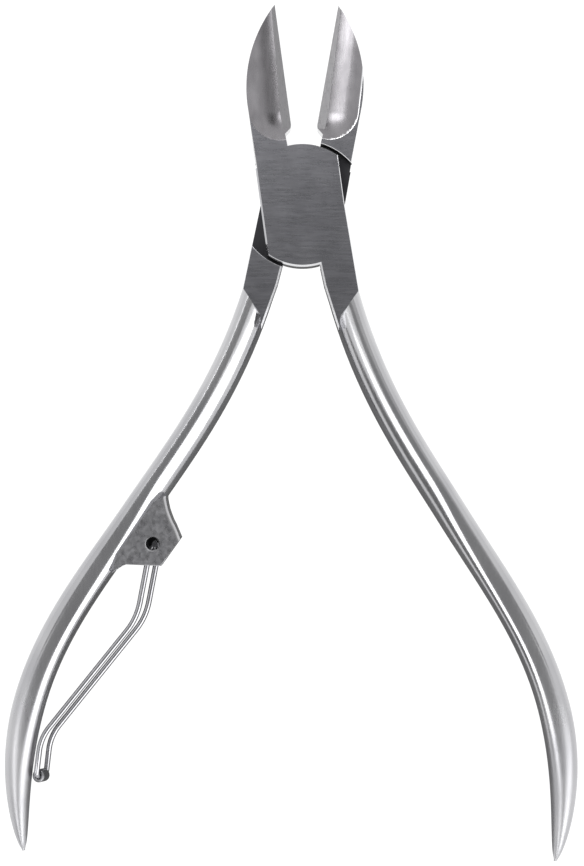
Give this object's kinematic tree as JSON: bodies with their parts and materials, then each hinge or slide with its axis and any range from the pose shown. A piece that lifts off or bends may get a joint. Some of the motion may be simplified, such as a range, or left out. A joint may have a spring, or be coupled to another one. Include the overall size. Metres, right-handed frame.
{
  "type": "nail nipper",
  "caption": "Lap-joint nail nipper with crossed halves, hollow-ground cutting jaws, slim bowed handles and a folding wire bow spring with a small roller.",
  "frame": {"origin": "on the pivot axis, at the flat rear face of the lap joint", "axes": "+Y from the handles towards the jaws, +Z along the pivot axis from the rear face to the front face, +X to the right as the front is seen"},
  "size_m": [0.0906, 0.1346, 0.006],
  "materials": {
    "front_steel": "satin",
    "rear_steel": "satin",
    "rivet_steel": "satin",
    "spring_wire": "polished",
    "roller_steel": "polished"
  },
  "bodies": {
    "rear_lever": {"rear_half": "rear_steel", "pivot_rivet": "rivet_steel"},
    "front_lever": {"front_half": "front_steel"},
    "spring": {"bow_spring": "spring_wire"},
    "roller": {"spring_roller": "roller_steel"}
  },
  "joints": [
    {"name": "main_pivot", "type": "hinge", "parent": "rear_lever", "child": "front_lever", "pos_m": [0, 0, 0.003], "axis": [0, 0, 1], "range_deg": [-17.8, 8]},
    {"name": "spring_swing", "type": "hinge", "parent": "rear_lever", "child": "spring", "pos_m": [-0.0222, -0.05374, 0.003], "axis": [0, 0, 1], "range_deg": [0, 78]},
    {"name": "roller_spin", "type": "hinge", "parent": "spring", "child": "roller", "pos_m": [-0.03957, -0.09083, 0.003], "axis": [-0.3646, 0.0037, 0.9312], "continuous": true}
  ]
}
